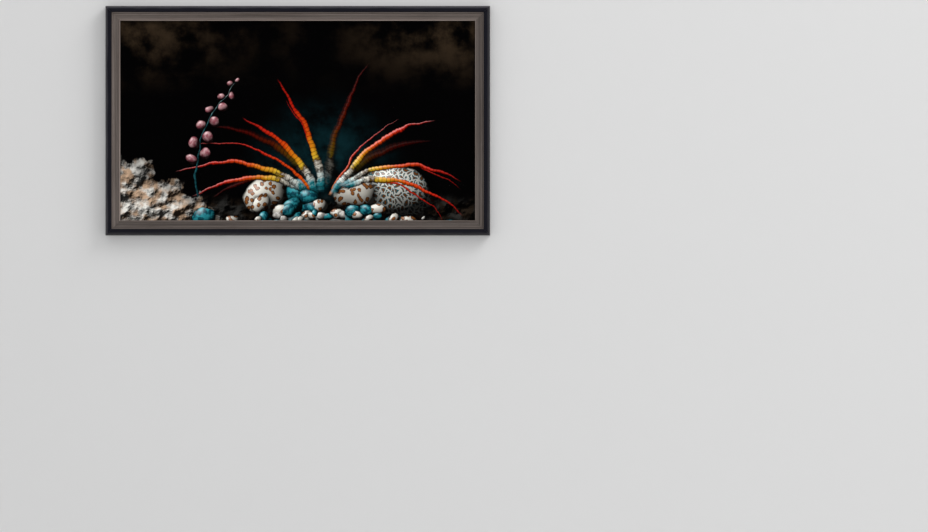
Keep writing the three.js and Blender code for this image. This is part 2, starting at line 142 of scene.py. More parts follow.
@dataclass(frozen=True)
class Wire:
    """A node's output. Arithmetic and patterns on wires add the nodes that work them out."""

    graph: "Graph"
    socket: bpy.types.NodeSocket

    def __add__(self, other: "Term") -> "Wire":
        """The sum."""
        return self.graph.combine("ADD", self, other)

    def __sub__(self, other: "Term") -> "Wire":
        """The difference."""
        return self.graph.combine("SUBTRACT", self, other)

    def __rsub__(self, other: "Term") -> "Wire":
        """The difference, this wire being taken away."""
        return self.graph.combine("SUBTRACT", other, self)

    def __mul__(self, other: "Term") -> "Wire":
        """The product."""
        return self.graph.combine("MULTIPLY", self, other)

    __radd__ = __add__
    __rmul__ = __mul__

    def __truediv__(self, other: "Term") -> "Wire":
        """The quotient of two numbers."""
        return self.math("DIVIDE", other)

    def __abs__(self) -> "Wire":
        """The number without its sign."""
        return self.math("ABSOLUTE")

    def __iter__(self) -> Iterator["Wire"]:
        """The three numbers of a vector."""
        node = self.graph.node("SeparateXYZ", (self,)).socket.node
        return iter([Wire(self.graph, socket) for socket in node.outputs])

    def beside(self, name: str) -> "Wire":
        """Another output of the same node."""
        return Wire(self.graph, self.socket.node.outputs[name])

    def math(self, operation: str, *others: "Term") -> "Wire":
        """One function of numbers, this one first."""
        return self.graph.node("Math", (self, *others), operation=operation)

    def vector(self, operation: str, *others: "Term") -> "Wire":
        """One function of vectors. A length, distance or dot product comes back as a number."""
        number = operation in ("LENGTH", "DISTANCE", "DOT_PRODUCT")
        return self.graph.node("VectorMath", (self, *others), int(number), operation=operation)

    def step(self, start: "Term", end: "Term", low: float = 0.0, high: float = 1.0) -> "Wire":
        """A smooth step from low at start to high at end, which may be the lower of the two."""
        return self.graph.node("MapRange", (self, start, end, low, high), interpolation_type="SMOOTHSTEP")

    def blend(self, first: "Term", second: "Term") -> "Wire":
        """Two colours mixed, this number being the share of the second."""
        return self.graph.node("Mix", {0: self, 6: first, 7: second}, 2, data_type="RGBA")

    def ramp(self, stops: list[tuple[float, Colour]]) -> "Wire":
        """A colour for each value from 0 to 1.

        Args:
            stops: Places and their colours, lowest first.

        Returns:
            The colour.
        """
        ramped = self.graph.node("ValToRGB", (self,))
        elements = ramped.socket.node.color_ramp.elements
        while len(elements) < len(stops):
            elements.new(1.0)
        for element, (place, colour) in zip(elements, stops):
            element.position = place
            element.color = (*colour, 1.0)
        return ramped

    def noise(self, scale: float, detail: float = 2.0, rough: float = 0.5, solid: bool = False) -> "Wire":
        """Soft noise about 0.5 at this point. Solid noise varies with its third number too."""
        terms = {"Vector": self, "Scale": scale, "Detail": detail, "Roughness": rough}
        return self.graph.node("TexNoise", terms, noise_dimensions="3D" if solid else "2D")

    def sway(self, scale: float, width: float) -> "Wire":
        """This flat point, moved about by noise, by half the width at most."""
        shift = self.graph.node("TexNoise", {"Vector": self, "Scale": scale}, 1, noise_dimensions="2D")
        return (self + (shift - (0.5, 0.5, 0.5)) * width) * (1.0, 1.0, 0.0)

    def scatter(self, pitch: float, feature: str = "F1") -> "Wire":
        """Cells about places scattered a pitch apart, as the feature's distance in pitches."""
        terms = {"Vector": self, "Scale": 1 / pitch}
        return self.graph.node("TexVoronoi", terms, feature=feature, voronoi_dimensions="2D")

    def cells(self, pitch: float, feature: str = "F1") -> "Wire":
        """The distance that scatter measures, in units of the point."""
        return self.scatter(pitch, feature) * pitch

    def bump(self, distance: float, strength: float) -> "Wire":
        """A normal from this relief. A height of 1 stands out by the distance, in metres."""
        return self.graph.node("Bump", {"Height": self, "Distance": distance, "Strength": strength})


Term = Wire | float | tuple


def is_number(term: Term) -> bool:
    """Whether a term is one number and not a vector or colour."""
    return term.socket.type == "VALUE" if isinstance(term, Wire) else not isinstance(term, tuple)


def join(x: Wire, y: Term, z: Term = 0.0) -> Wire:
    """A vector from three numbers."""
    return x.graph.node("CombineXYZ", (x, y, z))


class Graph:
    """A node tree that is written as arithmetic."""

    def __init__(self, tree: bpy.types.NodeTree) -> None:
        """Starts on the tree that nodes are added to."""
        self.tree = tree

    def node(self, kind: str, terms: tuple | dict = (), output: int = 0, **settings: object) -> Wire:
        """Adds a node.

        Args:
            kind: The node's type name, without ShaderNode.
            terms: What goes into its first inputs in order, or into inputs by name or number.
            output: The number of the output that is wanted.
            settings: The node's own properties.

        Returns:
            That output.
        """
        node = self.tree.nodes.new("ShaderNode" + kind)
        for name, value in settings.items():
            setattr(node, name, value)
        for place, term in terms.items() if isinstance(terms, dict) else enumerate(terms):
            self.feed(node.inputs[place], term)
        return Wire(self, node.outputs[output])

    def feed(self, socket: bpy.types.NodeSocket, term: Term) -> None:
        """Links a wire into an input, or sets the input's own value.

        Args:
            socket: The input.
            term: The wire, number, vector or colour.
        """
        if isinstance(term, Wire):
            self.tree.links.new(term.socket, socket)
        elif socket.type == "RGBA":
            socket.default_value = (*term, 1.0)
        else:
            socket.default_value = term

    def combine(self, operation: str, first: Term, second: Term) -> Wire:
        """Arithmetic on two numbers, on two vectors, or on a vector and a number.

        Args:
            operation: What is done with them.
            first: The first term.
            second: The second term.

        Returns:
            The result.
        """
        if not is_number(second):
            return self.node("VectorMath", (first, second), operation=operation)
        if is_number(first):
            return self.node("Math", (first, second), operation=operation)
        return self.node("VectorMath", {0: first, "Scale": second}, operation="SCALE")


class Surface(Graph):
    """The graph of one material."""

    def __init__(self, name: str) -> None:
        """Starts a material.

        Args:
            name: The material's name.
        """
        self.material = bpy.data.materials.new(name)
        self.material.use_nodes = True
        super().__init__(self.material.node_tree)

    def set(self, **terms: Term) -> Material:
        """Gives the shader its values.

        Args:
            terms: The shader's inputs by name, with _ for a space.

        Returns:
            The material.
        """
        shader = next(node for node in self.tree.nodes if node.type == "BSDF_PRINCIPLED")
        for name, term in terms.items():
            self.feed(shader.inputs[name.replace("_", " ")], term)
        return self.material

    def here(self) -> Wire:
        """The point on the object, in the row's own metres."""
        return self.node("TexCoord").beside("Object")

    def map(self, name: str) -> Wire:
        """The point on one of the piece's own maps."""
        return self.node("UVMap", uv_map=name)


@dataclass(frozen=True)
class Shape:
    """One shape of the printed design, in metres on the canvas."""

    place: Point

    def terms(self) -> dict[str, Term]:
        """The shape's place and sizes, as its motif's inputs."""
        sizes = {name: size for name, size in vars(self).items() if isinstance(size, float)}
        return {"place": (*self.place, 0.0)} | sizes


class Motif(Graph):
    """A node group that lays one printed shape over the picture below it."""

    def __init__(self, shape: type[Shape], face: str) -> None:
        """Starts a group, with an input for each size of its shape.

        Args:
            shape: The class of the shapes that it lays.
            face: The kind of its face input: a colour, or a number that mottles it.
        """
        tree = bpy.data.node_groups.new(shape.__name__.lower(), "ShaderNodeTree")
        super().__init__(tree)
        kinds = {"below": "Color", "face": face, "point": "Vector", "place": "Vector"}
        kinds |= {field.name: "Float" for field in fields(shape) if field.type is float}
        for name, kind in kinds.items():
            tree.interface.new_socket(name, in_out="INPUT", socket_type="NodeSocket" + kind)
        tree.interface.new_socket("picture", in_out="OUTPUT", socket_type="NodeSocketColor")
        given = tree.nodes.new("NodeGroupInput").outputs
        self.given = {socket.name: Wire(self, socket) for socket in given if socket.name}

    def local(self, angle: Term) -> Wire:
        """The point as the shape sees it: from its own place, and turned about it."""
        away = self.given["point"] - self.given["place"]
        return self.node("VectorRotate", {"Vector": away, "Angle": angle}, rotation_type="Z_AXIS")

    def finish(self, picture: Wire) -> "Motif":
        """Sends the picture out and returns the motif."""
        self.feed(self.tree.nodes.new("NodeGroupOutput").inputs[0], picture)
        return self

    def lay(self, below: Wire, **terms: Term) -> Wire:
        """The picture below with one copy of the shape on it, from the group's inputs."""
        return below.graph.node("Group", {"below": below, **terms}, node_tree=self.tree)


def toned(colour: Colour, by: float) -> Colour:
    """A colour times a number."""
    return tuple(part * by for part in colour)


@dataclass(frozen=True)
class PlanedWood:
    """Planed wood without a finish."""

    name: str
    pale: Colour
    dark: Colour
    knotty: bool = False
    knot: Colour = (0.16, 0.075, 0.03)
    ring_pitch: float = 4.8 * MM
    knot_pitch: float = 170 * MM
    knot_radius: float = 4.5 * MM
    swirl_radius: float = 28 * MM
    roughness: float = 0.58

    def grain(self, along: Wire, across: Wire, through: Term = 0.0) -> tuple[Wire, Wire]:
        """The wood's colour and relief.

        Args:
            along: Metres along the grain.
            across: Metres across it.
            through: Metres into the piece.

        Returns:
            The colour and the relief.
        """
        stretched = join(along * 0.07, across, through)
        rings = across * (1 / self.ring_pitch) + stretched.noise(26.0, solid=True) * 9.0
        if self.knotty:
            to_knot = join(along, across).cells(self.knot_pitch)
            rings = rings + to_knot.step(self.swirl_radius, 0.0, 0.0, 4.0)
        ring = rings.math("FRACT")
        late = ring.step(0.35, 0.95) - ring.step(0.95, 1.0)
        fibre = join(along * 6.0, across * 900.0, through).noise(1.0, 4.0, 0.65, True)
        patch = stretched.noise(7.0, 3.0, solid=True)
        tone = late * 0.55 + fibre * 0.45 + (patch - 0.5) * 0.7
        colour = tone.step(0.1, 1.1).blend(self.pale, self.dark)
        if self.knotty:
            core = to_knot.step(self.knot_radius, self.knot_radius * 0.7, 0.0, 0.9)
            colour = core.blend(colour, self.knot)
        return colour, fibre

    def material(self, level: bool) -> Material:
        """Makes the finish.

        Args:
            level: Whether the grain runs along X rather than Z.

        Returns:
            The material.
        """
        surface = Surface(f"{self.name}_{'level' if level else 'upright'}")
        x, y, z = surface.here()
        colour, fibre = self.grain(*((x, z) if level else (z, x)), y)
        return surface.set(
            Base_Color=colour,
            Roughness=fibre * 0.16 + self.roughness,
            Specular_IOR_Level=0.3,
            Normal=fibre.bump(0.12 * MM, 0.7),
        )


PINE = PlanedWood("bare_pine", (0.70, 0.50, 0.28), (0.42, 0.24, 0.10), knotty=True)
BEECH = PlanedWood("bare_beech", (0.60, 0.36, 0.19), (0.45, 0.24, 0.12), ring_pitch=2.6 * MM)


@dataclass(frozen=True)
class BlackLacquer:
    """Satin black lacquer on what shows, with a painted highlight on its outer shoulder, and bare wood at
    the back and inside.
    """

    name: str
    rail: "OuterMoulding"
    # How strong the painted highlight is on this side: lower on the right and bottom rails, as painted
    # shade.
    wear: float
    colour: Colour = (0.0028, 0.0026, 0.0075)
    # The painted highlight's colours on the shoulder, from its fading part to its palest; the pores take the
    # fading one too.
    bloom: Colour = (0.028, 0.027, 0.034)
    rubbed: Colour = (0.048, 0.046, 0.054)
    masked_rise: float = 0.5 * MM

    def material(self) -> Material:
        """Makes the finish, on the rails' own maps.

        Returns:
            The material.
        """
        surface = Surface(self.name)
        along, across, _ = surface.map(GRAIN_MAP)
        inset, rise, _ = surface.map(SECTION_MAP)
        wood, fibre = PINE.grain(along, across)
        pore = join(along * 18.0, across * 700.0).noise(1.0, 3.0, 0.6)
        cloud = join(along, across).noise(14.0, 3.0)
        # The outer shoulder is painted paler, fading to black at the crown: a painted highlight, scaled by
        # the side's painted shading.
        edge = (cloud - 0.5) * 0.5 + inset * (1 / self.rail.shoulder_width)
        rubbed, bloom = toned(self.rubbed, self.wear), toned(self.bloom, self.wear)
        paint = edge.ramp([(0.05, rubbed), (0.62, rubbed), (0.80, bloom), (1.0, self.colour)])
        paint = pore.step(0.55, 0.8, 0.0, 0.2).blend(paint, bloom)
        ragged_rise = rise + (cloud - 0.5) * MM
        back = ragged_rise.step(self.masked_rise, self.masked_rise * 0.7)
        inside = inset.step(self.rail.body - 0.1 * MM, self.rail.body)
        inside = inside * ragged_rise.step(self.rail.lip_back - 0.6 * MM, self.rail.lip_back - 0.8 * MM)
        bare = back.math("MAXIMUM", inside)
        return surface.set(
            Base_Color=bare.blend(paint, wood),
            Roughness=cloud * 0.14 + bare * 0.25 + 0.27,
            Specular_IOR_Level=0.17,
            Normal=(pore * 0.6 + fibre * 0.2).bump(0.05 * MM, 0.5),
        )


@dataclass(frozen=True)
class GreyBrownStain:
    """Open-grained wood, stained grey-brown, with painted light and shade across its section."""

    name: str
    rail: "LinerMoulding"
    # Each side's copy of the stain is scaled by its tone: lower on the right and bottom rails, as painted
    # shade.
    tone: float
    mean: Colour = (0.247, 0.198, 0.174)
    pale: Colour = (0.358, 0.296, 0.266)
    dark: Colour = (0.114, 0.086, 0.072)

    def wear(self, inset: Wire) -> Wire:
        """The painted light and shade on the fillet, groove, scoop and bead.

        Args:
            inset: Metres in from the frame's outer edge.

        Returns:
            The painted shading at that inset.
        """
        # Painted shadow lines at the fillet's foot under the black lip and at the bead's sight edge, painted
        # shade in the groove and scoop, and painted light on the fillet and the bead's crown.
        fillet = [(0.0, 0.08), (0.03, 0.12), (0.06, 0.76), (0.13, 0.78)]
        groove = [(0.15, 0.38), (0.19, 0.42)]
        scoop = [(0.24, 0.66), (0.34, 0.56), (0.48, 0.42), (0.60, 0.45), (0.74, 0.58), (0.84, 0.53)]
        bead = [(0.88, 0.66), (0.92, 1.0), (0.97, 0.95), (1.0, 0.30)]
        start, end = self.rail.datum.outer_face, self.rail.datum.sight_edge
        across = (inset - start) * (1 / (end - start))
        return across.ramp([(at, (shade,) * 3) for at, shade in fillet + groove + scoop + bead])

    def material(self) -> Material:
        """Makes the finish, on the rails' own maps.

        Returns:
            The material.
        """
        surface = Surface(self.name)
        along, across, _ = surface.map(GRAIN_MAP)
        inset, rise, _ = surface.map(SECTION_MAP)
        wood, fibre = PINE.grain(along, across)
        # The tone darkens the right and bottom rails' stain as painted shade.
        mean, pale, dark = (toned(shade, self.tone) for shade in (self.mean, self.pale, self.dark))
        streak = join(along * 2.4, across * 340.0).noise(1.0, 4.0, 0.6)
        pore = join(along * 30.0, across * 1500.0).noise(1.0, 3.0, 0.7)
        board = join(along * 1.3, across).noise(4.0)
        colour = streak.step(0.42, 0.72).blend(mean, pale)
        colour = streak.step(0.46, 0.24).blend(colour, dark)
        colour = pore.step(0.56, 0.72, 0.0, 0.75).blend(colour, dark)
        colour = board.step(0.35, 0.7, 0.0, 0.25).blend(colour, pale)
        liner_back = self.rail.datum.liner_back
        back = rise.step(liner_back + 0.3 * MM, liner_back + 0.1 * MM)
        rebate = inset.step(self.rail.rebate - 0.3 * MM, self.rail.rebate)
        rebate = rebate * rise.step(self.rail.lip_back + 0.3 * MM, self.rail.lip_back)
        return surface.set(
            Base_Color=back.math("MAXIMUM", rebate).blend(colour * self.wear(inset), wood),
            Roughness=streak * 0.2 + 0.42,
            Specular_IOR_Level=0.3,
            Normal=(streak * 0.5 - pore * 0.5 + fibre * 0.3).bump(0.12 * MM, 0.6),
        )


@dataclass(frozen=True)
class Canvas:
    """Plain-woven cloth, bare or primed."""

    name: str
    pale: Colour = (0.66, 0.60, 0.49)
    dark: Colour = (0.44, 0.38, 0.28)
    relief: float = 0.22 * MM
    pitch: float = 1.05 * MM
    slub_length: float = 80 * MM

    def weave(self, here: Wire) -> Wire:
        """The weave's relief.

        Args:
            here: The point on the sheet.

        Returns:
            The relief, from 0 to 1.
        """
        x, y, z = here
        z = z + y
        wander = (join(x, z).noise(60.0) - 0.5) * 0.9
        warp_phase, weft_phase = (place * (math.pi / self.pitch) + wander for place in (x, z))
        warp, weft = abs(warp_phase.math("SINE")), abs(weft_phase.math("SINE"))
        over = warp_phase.math("COSINE") * weft_phase.math("COSINE")
        thread = over.step(-0.5, 0.5) * (warp - weft) + weft
        along, thick = 1 / self.slub_length, 0.5 / self.pitch
        slub = join(x * along, z * thick).noise(1.0, 1.0) + join(x * thick, z * along).noise(1.0, 1.0)
        return thread * 0.6 + slub * 0.4

    def material(self) -> Material:
        """Makes the cloth's finish.

        Returns:
            The material.
        """
        surface = Surface(self.name)
        here = surface.here()
        weave = self.weave(here)
        # The weave's low places take the darker colour: painted shade between the threads.
        colour = weave.step(0.85, 0.35).blend(self.pale, self.dark)
        fleck = here.noise(420.0, solid=True).step(0.66, 0.74, 0.0, 0.6)
        return surface.set(
            Base_Color=fleck.blend(colour, self.dark),
            Roughness=0.88,
            Specular_IOR_Level=0.2,
            Sheen_Weight=0.15,
            Normal=weave.bump(self.relief, 0.8),
        )


BARE_CLOTH = Canvas("bare_cloth")
PRIMED_CLOTH = Canvas("primed_cloth", (0.86, 0.85, 0.82), (0.66, 0.64, 0.60), 0.14 * MM)


@dataclass(frozen=True)
class Frond(Shape):
    """A tapered arm that springs from its place. A radius over 0 curves it to its left."""

    heading: float
    radius: float
    length: float
    width: float
    blur: float = 0.3
    tone: float = 1.0
    start: float = 0.0
    span: float = 1.0

    def at(self, share: float, aside: float) -> Point:
        """A place beside the arm.

        Args:
            share: How far along it is, from 0 to 1.
            aside: How far to the arm's left, in metres.

        Returns:
            The place on the canvas.
        """
        turned, cos, sin = share * self.length / self.radius, math.cos(self.heading), math.sin(self.heading)
        forward = (self.radius - aside) * math.sin(turned)
        left = self.radius - (self.radius - aside) * math.cos(turned)
        return self.place[0] + forward * cos - left * sin, self.place[1] + forward * sin + left * cos


@dataclass(frozen=True)
class Spray:
    """Arms of one kind that spread like a fountain. Each pair is a least and a most.

    Headings are in degrees, and a bend is 1 over an arm's radius.
    """

    count: int
    lengths: Point
    widths: Point
    tones: Point
    blur: float
    start: float = 0.0
    first_heading: float = 170.0
    fan: float = 160.0
    stray: float = 7.0
    root_width: float = 0.06
    root_stray: float = 12 * MM
    bends: Point = (0.8, 2.4)
    bend_by_lean: float = 2.4

    def arms(self, root: Point, draw: random.Random) -> list[Frond]:
        """Spreads the arms.

        Args:
            root: The place that they spring from.
            draw: Where their chances come from.

        Returns:
            The arms, from the left one to the right.
        """
        arms = []
        for i in range(self.count):
            heading = self.first_heading - self.fan * (i + 0.5) / self.count
            heading = math.radians(heading + draw.uniform(-self.stray, self.stray))
            lean = math.cos(heading)
            rise = draw.uniform(-self.root_stray, self.root_stray)
            bend = draw.uniform(*self.bends) + self.bend_by_lean * abs(lean)
            arm = Frond(
                place=(root[0] + self.root_width * lean, root[1] + rise),
                heading=heading,
                radius=math.copysign(1 / bend, -lean),
                length=draw.uniform(*self.lengths),
                width=draw.uniform(*self.widths),
                blur=self.blur,
                tone=draw.uniform(*self.tones),
                start=self.start,
                span=1.0 - self.start,
            )
            arms.append(arm)
        return arms


FAR_ARMS = Spray(5, (0.26, 0.40), (12 * MM, 17 * MM), (0.05, 0.14), 0.98)
THICK_ARMS = Spray(7, (0.30, 0.42), (10 * MM, 13 * MM), (0.85, 1.0), 0.18)
THIN_ARMS = Spray(6, (0.24, 0.38), (4.5 * MM, 6 * MM), (0.8, 1.0), 0.3, 0.4)
ARM_BANDS = [
    (0.00, (0.004, 0.070, 0.090)),
    (0.06, (0.020, 0.260, 0.300)),
    (0.12, (0.800, 0.860, 0.800)),
    (0.15, (0.060, 0.045, 0.030)),
    (0.18, (0.860, 0.820, 0.700)),
    (0.23, (0.120, 0.060, 0.020)),
    (0.27, (0.950, 0.600, 0.040)),
    (0.36, (0.920, 0.330, 0.010)),
    (0.48, (0.860, 0.085, 0.004)),
    (0.70, (0.700, 0.018, 0.004)),
    (1.00, (0.240, 0.004, 0.004)),
]


class Look(Enum):
    """How a printed stone is coloured: its colours, from the lowest layer up."""

    SPOTTED = ((0.90, 0.86, 0.76), (0.10, 0.03, 0.01), (0.42, 0.15, 0.04))
    TEAL = ((0.004, 0.080, 0.115), (0.035, 0.400, 0.470))
    CHALK = ((0.42, 0.40, 0.37), (0.92, 0.89, 0.82))
    ROSE = ((0.40, 0.10, 0.13), (0.70, 0.38, 0.40))
    MAZE = ((0.92, 0.90, 0.82), (0.02, 0.16, 0.19), (0.24, 0.08, 0.02))


@dataclass(frozen=True)
class Stone(Shape):
    """A shaded oval about its place."""

    radius: float
    look: Look
    squash: float = 0.92
    tilt: float = 0.0
    blur: float = 0.06


@dataclass(frozen=True)
class SeaGardenPrint(Canvas):
    """The printed face: an invented sea garden at night, on a near-black ground."""

    middle_z: float = 0.0
    seed: int = 12
    root: Point = (0.075, -0.195)
    berry_count: int = 12
    first_berry: float = 0.30
    berry_radii: Point = (23 * MM, 8 * MM)
    berry_stray: float = 1.5 * MM
    joint_pitch: float = 11 * MM
    light: Triple = (-0.42, 0.62, 0.66)
    water: Colour = (0.0006, 0.0005, 0.0006)
    warm_rock: Colour = (0.042, 0.027, 0.015)
    teal_glow: Colour = (0.004, 0.026, 0.032)
    bed_pitches_and_drops: tuple[Point, ...] = ((62 * MM, 18 * MM), (40 * MM, 42 * MM), (26 * MM, 64 * MM))
    unseen_shift: float = 1e-6

    def sprig(self) -> Frond:
        """The stem on the left that carries the berries."""
        return Frond((-0.285, -0.215), math.radians(97), -1 / 2.6, 0.36, 3.4 * MM, tone=0.6, span=0.09)

    def berries(self) -> list[Stone]:
        """Sets berries to both sides of the stem, smaller towards its tip.

        Returns:
            The berries, from the lowest to the tip.
        """
        draw = random.Random(self.seed + 2)
        foot, tip = self.berry_radii
        berries = []
        for i in range(self.berry_count):
            last = i == self.berry_count - 1
            share = self.first_berry + (1 - self.first_berry) * i / (self.berry_count - 1)
            radius = foot + (tip - foot) * share + draw.uniform(-self.berry_stray, self.berry_stray)
            place = self.sprig().at(share, 0.0 if last else 1.1 * radius * (-1) ** i)
            berries.append(Stone(place, radius, Look.ROSE, tilt=draw.uniform(-0.6, 0.6), blur=0.09))
        return berries

    def domes(self) -> list[Stone]:
        """Sets low domes and boulders behind the arms.

        Returns:
            The maze-like dome on the right, then the smaller ones.
        """
        x, z = self.root
        return [
            Stone((x + 0.205, z - 0.005), 0.095, Look.MAZE, 0.74, 0.12, 0.04),
            Stone((x - 0.165, z - 0.020), 0.062, Look.SPOTTED, 0.80, -0.2, 0.05),
            Stone((x + 0.085, z - 0.012), 0.058, Look.SPOTTED, 0.85, 0.3, 0.05),
            Stone((x - 0.060, z - 0.015), 0.050, Look.TEAL, 0.90, 0.2, 0.05),
        ]

    def frond_motif(self) -> Motif:
        """Makes the node group of one arm, jointed and banded along its length.

        Returns:
            The motif.
        """
        motif = Motif(Frond, "Float")
        given = motif.given
        heading, blur, radius = given["heading"], given["blur"], abs(given["radius"])
        turned = given["radius"].math("SIGN")
        x, y, _ = motif.local(heading * -1.0)
        down = radius - y * turned
        angle = x.math("ARCTAN2", down)
        travel = angle * radius
        along = travel / given["length"]
        joint = abs((travel * (math.pi / self.joint_pitch)).math("SINE"))
        width = (1.0 - along * 0.88).math("MAXIMUM", 0.02) * given["width"] * (joint * 0.12 + 0.9)
        across = (radius - join(x, down).vector("LENGTH")) / width
        mask = abs(across).step(blur + 1.0, 1.0 - blur)
        mask = mask * along.step(-0.02, 0.02) * along.step(1.0, 0.93)
        bulge = (1.0 - across * across).math("MAXIMUM", 0.0).math("SQRT")
        facing = heading + turned * angle
        slope = facing.math("COSINE") * self.light[1] - facing.math("SINE") * self.light[0]
        light = (across * turned * slope + bulge * self.light[2] + 0.06).math("MAXIMUM", 0.05)
        colour = (along * given["span"] + given["start"] + (given["face"] - 0.5) * 0.12).ramp(ARM_BANDS)
        glint = light.math("MINIMUM", 1.0).math("POWER", 14.0) * 0.22
        lit = colour * (light * joint.step(0.0, 0.5, 0.45, 1.1)) + join(glint, glint, glint)
        return motif.finish(mask.blend(given["below"], lit * given["tone"]))

    def stone_motif(self) -> Motif:
        """Makes the node group of one stone, with the dark that it casts round its foot.

        Returns:
            The motif.
        """
        motif = Motif(Stone, "Color")
        given = motif.given
        radius, blur = given["radius"], given["blur"]
        x, y, _ = motif.local(given["tilt"])
        x, y = x / radius, y / (radius * given["squash"])
        reach = join(x, y).vector("LENGTH")
        mask = reach.step(blur + 1.0, 1.0 - blur)
        height = (1.0 - reach * reach).math("MAXIMUM", 0.0).math("SQRT")
        light = join(x, y, height).vector("DOT_PRODUCT", self.light)
        light = light.math("MAXIMUM", 0.03).math("MINIMUM", 1.0)
        glint = light.math("POWER", 16.0) * 0.4
        shaded = given["face"] * light.math("POWER", 1.25) + join(glint, glint, glint)
        return motif.finish(mask.blend(given["below"] * reach.step(0.95, 1.5, 0.2, 1.0), shaded))

    def faces(self, point: Wire) -> dict[Look, Wire]:
        """Colours each kind of stone, before its light and shade.

        Args:
            point: The point on the canvas.

        Returns:
            The colour of each look.
        """
        spot = point.cells(17 * MM) + point.noise(160.0) * (5 * MM)
        ridge = point.sway(60.0, 0.016).cells(13 * MM, "DISTANCE_TO_EDGE")
        patches = (point.noise(75.0, 4.0, 0.6).step(0.4, 0.62),)
        shares = {
            Look.SPOTTED: (spot.step(8.6 * MM, 7.8 * MM), spot.step(7.4 * MM, 5.8 * MM)),
            Look.MAZE: (ridge.step(1.2 * MM, 2.4 * MM), ridge.step(3.0 * MM, 3.9 * MM)),
        }
        faces = {}
        for look in Look:
            faces[look], *upper = look.value
            for share, colour in zip(shares.get(look, patches), upper):
                faces[look] = share.blend(faces[look], colour)
        return faces

    def ground(self, flat: Wire) -> Wire:
        """The near-black water, with faint warm rock at the top and a teal glow.

        Args:
            flat: The point on the canvas.

        Returns:
            The ground's colour.
        """
        x, z, _ = flat
        cloud = flat.noise(9.0, 5.0, 0.62)
        warm = z.step(0.06, 0.27) * abs(x + 0.02).step(0.08, 0.46, 0.15, 1.0) * cloud.step(0.38, 0.72)
        colour = warm.blend(self.water, self.warm_rock)
        far = flat.vector("DISTANCE", (self.root[0], self.root[1] + 0.04, 0.0))
        return (far.step(0.26, 0.02) * cloud.step(0.3, 0.7)).blend(colour, self.teal_glow)

    def rubble_height(self, at: Wire) -> Wire:
        """The rubble's relief, in lumps and grit.

        Args:
            at: The point on the canvas.

        Returns:
            How high the rubble stands there.
        """
        at = at.sway(26.0, 0.012)
        lumps = at.cells(46 * MM, "SMOOTH_F1") * 34.0 + at.cells(19 * MM, "SMOOTH_F1") * 30.0
        return at.noise(150.0, 4.0, 0.6) * 0.22 - lumps

    def rubble(self, flat: Wire, below: Wire) -> Wire:
        """Lays pale rubble in the lower left corner and a dim floor along the foot.

        Args:
            flat: The point on the canvas.
            below: The picture below.

        Returns:
            The picture with the rubble on it.
        """
        x, z, _ = flat
        ragged = (flat.noise(14.0, 4.0, 0.6) - 0.5) * 0.16
        slant = x * 0.62 + z + ragged
        bank = slant.step(-0.392, -0.402)
        floor = (z + ragged * 0.3).step(-0.205, -0.245)
        towards = tuple(part * 4 * MM for part in self.light[:2])
        slope = self.rubble_height(flat) - self.rubble_height(flat + (*towards, 0.0))
        tint = flat.noise(26.0).step(0.4, 0.6).blend((1.0, 0.97, 0.90), (0.66, 0.45, 0.30))
        stone = tint * slope.step(-0.11, 0.13, 0.015, 1.0)
        picture = floor.blend(below, stone * 0.03)
        return bank.blend(picture, stone * slant.step(-0.39, -0.46, 0.32, 1.0))

    def bed(self, point: Wire, faces: dict[Look, Wire], pitch: float, drop: float) -> dict[str, Term]:
        """Fits the stone motif to one depth of a bed of scattered pebbles round the root.

        Args:
            point: The point on the canvas.
            faces: The colour of each look.
            pitch: How far apart the pebbles are.
            drop: How far below the root the bed reaches up at its middle.

        Returns:
            The motif's inputs.
        """
        scattered = point.scatter(pitch)
        place = scattered.beside("Position")
        x, z, _ = place
        first, second, third = scattered.beside("Color")
        aside = x - self.root[0]
        crest = (first - 0.5) * 0.02 - aside * aside * 0.55 + (self.root[1] - drop)
        size = (second * 0.18 + 0.42) * pitch * (z - crest).step(2 * MM, -2 * MM)
        colour = third.step(0.32, 0.33).blend(faces[Look.SPOTTED], faces[Look.TEAL])
        return {
            "face": third.step(0.76, 0.77).blend(colour, faces[Look.CHALK]),
            "place": place,
            "radius": size.math("MAXIMUM", 0.01 * MM),
            "squash": first * 0.25 + 0.65,
            "tilt": second - 0.5,
            "blur": 0.06,
        }

    def paint(self, here: Wire) -> Wire:
        """Lays the whole design, from the ground to the nearest pebble.

        Args:
            here: The point on the sheet.

        Returns:
            The picture's colour.
        """
        x, _, z = here
        flat = join(x, z - self.middle_z)
        point = flat.sway(11.0, 0.024).sway(70.0, 0.0035)
        mottle, faces = point.noise(90.0, 3.0), self.faces(point)
        arm, stone = self.frond_motif(), self.stone_motif()
        draw = random.Random(self.seed)
        far, thick, thin = (spray.arms(self.root, draw) for spray in (FAR_ARMS, THICK_ARMS, THIN_ARMS))
        picture = self.rubble(flat, self.ground(flat))
        # Each shape reads its point after the picture so far, so that few values are held at once.
        for shape in (*far, *self.domes(), *thin, *thick, self.sprig(), *self.berries()):
            point = point + picture * self.unseen_shift
            motif, face = (arm, mottle) if isinstance(shape, Frond) else (stone, faces[shape.look])
            picture = motif.lay(picture, point=point, face=face, **shape.terms())
        for pitch, drop in self.bed_pitches_and_drops:
            point = point + picture * self.unseen_shift
            picture = stone.lay(picture, point=point, **self.bed(point, faces, pitch, drop))
        return picture

    def material(self) -> Material:
        """Makes the printed face's finish.

        Returns:
            The material.
        """
        surface = Surface(self.name)
        weave = self.weave(surface.here())
        return surface.set(
            # The print is dimmed where the weave lies low and brightened on its high threads: painted shade
            # and painted light on the weave.
            Base_Color=self.paint(surface.here()) * weave.step(0.2, 0.9, 0.86, 1.04),
            Roughness=weave * 0.14 + 0.60,
            Specular_IOR_Level=0.012,
            Normal=weave.bump(0.14 * MM, 0.55),
        )


